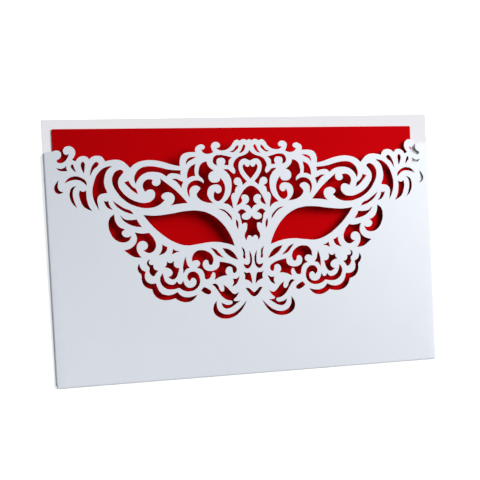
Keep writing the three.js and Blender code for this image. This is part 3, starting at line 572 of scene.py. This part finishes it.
def plainCard():
    width = redCard["width"] * mm
    height = redCard["height"] * mm
    right = (pocket["width"] / 2 - redCard["sideGap"]) * mm
    low = (redCard["seat"] - pocket["height"] / 2) * mm
    level = redCard["underside"] * mm
    nothingSelected()
    bpy.ops.mesh.primitive_plane_add(size=1, location=(0, 0, 0))
    card = bpy.context.object
    card.name = "red_insert"
    bpy.ops.object.mode_set(mode="EDIT")
    bpy.ops.mesh.select_all(action="SELECT")
    bpy.ops.transform.resize(value=(width, height, 1))
    bpy.ops.transform.translate(value=(right - width / 2, low + height / 2, level))
    bpy.ops.mesh.bevel(
        offset=redCard["corner"] * mm, segments=redCard["cornerSteps"], affect="VERTICES"
    )
    bpy.ops.mesh.select_all(action="SELECT")
    bpy.ops.transform.rotate(
        value=-math.radians(redCard["lean"]),
        orient_axis="Z",
        center_override=(right, low, level),
    )
    bpy.ops.mesh.select_all(action="SELECT")
    bpy.ops.mesh.extrude_region_move(
        TRANSFORM_OT_translate={"value": (0, 0, redCard["thickness"] * mm)}
    )
    bpy.ops.mesh.select_all(action="SELECT")
    bpy.ops.mesh.normals_make_consistent(inside=False)
    bpy.ops.object.mode_set(mode="OBJECT")
    rounding = card.modifiers.new("rounding", "BEVEL")
    rounding.width = redCard["edgeRounding"] * mm
    rounding.segments = redCard["edgeSteps"]
    rounding.limit_method = "ANGLE"
    applyModifier(card, rounding.name)
    bpy.ops.object.shade_smooth_by_angle(angle=smoothAngle)
    return card


# Materials


def newMaterial(name):
    material = bpy.data.materials.new(name)
    material.use_nodes = True
    nodes = material.node_tree.nodes
    nodes.clear()
    output = nodes.new("ShaderNodeOutputMaterial")
    shader = nodes.new("ShaderNodeBsdfPrincipled")
    material.node_tree.links.new(shader.outputs["BSDF"], output.inputs["Surface"])
    return material, nodes, material.node_tree.links, shader


# Noise between 0 and 1 whose spots are about as large as size, in metres.
def noiseField(nodes, links, size, detail, stretch=(1, 1, 1)):
    coordinates = nodes.new("ShaderNodeTexCoord")
    mapping = nodes.new("ShaderNodeMapping")
    mapping.inputs["Scale"].default_value = stretch
    noise = nodes.new("ShaderNodeTexNoise")
    noise.inputs["Scale"].default_value = 1 / size
    noise.inputs["Detail"].default_value = detail
    links.new(coordinates.outputs["Object"], mapping.inputs["Vector"])
    links.new(mapping.outputs["Vector"], noise.inputs["Vector"])
    return noise.outputs["Fac"]


def spreadOver(nodes, links, source, low, high, fromLow=0.3, fromHigh=0.7):
    spread = nodes.new("ShaderNodeMapRange")
    spread.inputs["From Min"].default_value = fromLow
    spread.inputs["From Max"].default_value = fromHigh
    spread.inputs["To Min"].default_value = low
    spread.inputs["To Max"].default_value = high
    links.new(source, spread.inputs["Value"])
    return spread.outputs["Result"]


def twoColours(nodes, links, factor, first, second):
    blend = nodes.new("ShaderNodeMix")
    blend.data_type = "RGBA"
    blend.inputs["A"].default_value = (*first, 1)
    blend.inputs["B"].default_value = (*second, 1)
    links.new(factor, blend.inputs["Factor"])
    return blend.outputs["Result"]


pearlLook = {
    "light": (0.750, 0.788, 0.850),
    "dark": (0.725, 0.763, 0.825),
    "mottleSize": 0.018,
    "mottleDetail": 3,
    "mottleShare": 0.5,
    "fibreSize": 0.0005,
    "fibreDetail": 4,
    "fibreStretch": (1, 0.25, 1),
    "fibreDepth": 0.00001,
    "roughLow": 0.42,
    "roughHigh": 0.58,
    "gloss": 0.35,
}


def pearlMaterial():
    look = pearlLook
    material, nodes, links, shader = newMaterial("pearl card")
    mottle = noiseField(nodes, links, look["mottleSize"], look["mottleDetail"])
    fibre = noiseField(
        nodes, links, look["fibreSize"], look["fibreDetail"], look["fibreStretch"]
    )
    both = nodes.new("ShaderNodeMath")
    both.operation = "ADD"
    links.new(spreadOver(nodes, links, mottle, 0, look["mottleShare"]), both.inputs[0])
    links.new(spreadOver(nodes, links, fibre, 0, 1 - look["mottleShare"]), both.inputs[1])
    colour = twoColours(nodes, links, both.outputs["Value"], look["dark"], look["light"])
    links.new(colour, shader.inputs["Base Color"])
    rough = spreadOver(nodes, links, fibre, look["roughLow"], look["roughHigh"])
    links.new(rough, shader.inputs["Roughness"])
    shader.inputs["Specular IOR Level"].default_value = look["gloss"]
    bump = nodes.new("ShaderNodeBump")
    bump.inputs["Distance"].default_value = look["fibreDepth"]
    links.new(fibre, bump.inputs["Height"])
    links.new(bump.outputs["Normal"], shader.inputs["Normal"])
    return material


insideLook = {
    "light": (0.815, 0.815, 0.845),
    "dark": (0.795, 0.795, 0.825),
    "fibreSize": 0.0007,
    "fibreDetail": 4,
    "roughness": 0.8,
}


def insideMaterial():
    look = insideLook
    material, nodes, links, shader = newMaterial("inside of the card")
    fibre = noiseField(nodes, links, look["fibreSize"], look["fibreDetail"])
    share = spreadOver(nodes, links, fibre, 0, 1)
    colour = twoColours(nodes, links, share, look["dark"], look["light"])
    links.new(colour, shader.inputs["Base Color"])
    shader.inputs["Roughness"].default_value = look["roughness"]
    return material


cutEdgeLook = {
    "pale": (0.83, 0.83, 0.835),
    "singed": (0.66, 0.64, 0.62),
    "streakSize": 0.0006,
    "streakDetail": 3,
    "streakStretch": (1, 1, 0.2),
    "roughness": 0.85,
}


def cutEdgeMaterial():
    look = cutEdgeLook
    material, nodes, links, shader = newMaterial("laser-cut edge")
    streak = noiseField(
        nodes, links, look["streakSize"], look["streakDetail"], look["streakStretch"]
    )
    share = spreadOver(nodes, links, streak, 0, 1)
    colour = twoColours(nodes, links, share, look["pale"], look["singed"])
    links.new(colour, shader.inputs["Base Color"])
    shader.inputs["Roughness"].default_value = look["roughness"]
    return material


redLook = {
    "bright": (0.530, 0.0006, 0.003),
    "deep": (0.480, 0.0004, 0.002),
    "grainSize": 0.0004,
    "grainDetail": 4,
    "cloudSize": 0.03,
    "cloudDetail": 2,
    "cloudShare": 0.3,
    "grainDepth": 0.000012,
    "roughness": 0.8,
    "gloss": 0.01,
}


def redMaterial():
    look = redLook
    material, nodes, links, shader = newMaterial("red card")
    grain = noiseField(nodes, links, look["grainSize"], look["grainDetail"])
    cloud = noiseField(nodes, links, look["cloudSize"], look["cloudDetail"])
    both = nodes.new("ShaderNodeMath")
    both.operation = "ADD"
    links.new(spreadOver(nodes, links, grain, 0, 1 - look["cloudShare"]), both.inputs[0])
    links.new(spreadOver(nodes, links, cloud, 0, look["cloudShare"]), both.inputs[1])
    colour = twoColours(nodes, links, both.outputs["Value"], look["deep"], look["bright"])
    links.new(colour, shader.inputs["Base Color"])
    shader.inputs["Roughness"].default_value = look["roughness"]
    shader.inputs["Specular IOR Level"].default_value = look["gloss"]
    bump = nodes.new("ShaderNodeBump")
    bump.inputs["Distance"].default_value = look["grainDepth"]
    links.new(grain, bump.inputs["Height"])
    links.new(bump.outputs["Normal"], shader.inputs["Normal"])
    return material


# Floor, lamps and camera

surroundings = {
    "floorSize": 3.0,
    "floorTiles": 8,
    "floorColour": (0.8, 0.8, 0.8),
    "floorGlow": 0.65,
    "skyColour": (0.8, 1.0, 1.2),
    "skyStrength": 0.1,
    "keyPlace": (2.29, 1.07, 2.27),
    "keySize": 2.2,
    "keyPower": 166,
    "keyColour": (1.02, 1.0, 0.98),
}


# 1 where the camera, a reflection or clear material looks, and 0 for light that falls on things.
def seenDirectly(nodes, links):
    paths = nodes.new("ShaderNodeLightPath")
    cameraOrGlossy = nodes.new("ShaderNodeMath")
    cameraOrGlossy.operation = "MAXIMUM"
    anyDirect = nodes.new("ShaderNodeMath")
    anyDirect.operation = "MAXIMUM"
    links.new(paths.outputs["Is Camera Ray"], cameraOrGlossy.inputs[0])
    links.new(paths.outputs["Is Glossy Ray"], cameraOrGlossy.inputs[1])
    links.new(cameraOrGlossy.outputs["Value"], anyDirect.inputs[0])
    links.new(paths.outputs["Is Transmission Ray"], anyDirect.inputs[1])
    return anyDirect.outputs["Value"]


def whiteFloor():
    nothingSelected()
    tiles = surroundings["floorTiles"]
    bpy.ops.mesh.primitive_grid_add(
        x_subdivisions=tiles, y_subdivisions=tiles, size=surroundings["floorSize"], location=(0, 0, 0)
    )
    floor = bpy.context.object
    floor.name = "floor"
    material, nodes, links, shader = newMaterial("white floor")
    shader.inputs["Base Color"].default_value = (*surroundings["floorColour"], 1)
    shader.inputs["Roughness"].default_value = 1
    shader.inputs["Specular IOR Level"].default_value = 0
    glow = nodes.new("ShaderNodeMath")
    glow.operation = "MULTIPLY"
    glow.inputs[1].default_value = surroundings["floorGlow"]
    links.new(seenDirectly(nodes, links), glow.inputs[0])
    shader.inputs["Emission Color"].default_value = (1, 1, 1, 1)
    links.new(glow.outputs["Value"], shader.inputs["Emission Strength"])
    floor.data.materials.append(material)


def whiteWorld():
    world = bpy.data.worlds.new("studio")
    world.use_nodes = True
    bpy.context.scene.world = world
    nodes = world.node_tree.nodes
    links = world.node_tree.links
    nodes.clear()
    output = nodes.new("ShaderNodeOutputWorld")
    light = nodes.new("ShaderNodeBackground")
    light.inputs["Color"].default_value = (*surroundings["skyColour"], 1)
    light.inputs["Strength"].default_value = surroundings["skyStrength"]
    white = nodes.new("ShaderNodeBackground")
    white.inputs["Color"].default_value = (1, 1, 1, 1)
    white.inputs["Strength"].default_value = 1
    choice = nodes.new("ShaderNodeMixShader")
    links.new(seenDirectly(nodes, links), choice.inputs["Fac"])
    links.new(light.outputs["Background"], choice.inputs[1])
    links.new(white.outputs["Background"], choice.inputs[2])
    links.new(choice.outputs["Shader"], output.inputs["Surface"])


def keyLamp():
    nothingSelected()
    bpy.ops.object.light_add(type="AREA", location=surroundings["keyPlace"])
    lamp = bpy.context.object
    lamp.name = "window light"
    lamp.data.size = surroundings["keySize"]
    lamp.data.energy = surroundings["keyPower"]
    lamp.data.color = surroundings["keyColour"]
    towards = -lamp.location
    lamp.rotation_euler = towards.to_track_quat("-Z", "Y").to_euler()


cameraView = {
    "place": (-0.11313, -0.00344, 0.43654),
    "turn": (-1.7792, -13.9669, -2.9296),
    "lens": 72.0,
    "sensor": 36.0,
    "shiftUp": 0.1152,
    "nearest": 0.01,
}


def addCamera():
    nothingSelected()
    bpy.ops.object.camera_add(location=cameraView["place"])
    camera = bpy.context.object
    camera.rotation_euler = [math.radians(angle) for angle in cameraView["turn"]]
    camera.data.lens = cameraView["lens"]
    camera.data.sensor_width = cameraView["sensor"]
    camera.data.shift_y = cameraView["shiftUp"]
    camera.data.clip_start = cameraView["nearest"]
    bpy.context.scene.camera = camera


bpy.context.scene.view_settings.view_transform = "Standard"

pocketPiece = pearlPocket()
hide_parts("pocket_card")
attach(pocketPiece, "root")
print("pocket done")

insertPiece = plainCard()
insertPiece.data.materials.append(redMaterial())
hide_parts("insert_card")
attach(insertPiece, "root")
print("plain card done")

whiteFloor()
whiteWorld()
keyLamp()
addCamera()
print("floor, light and camera done")
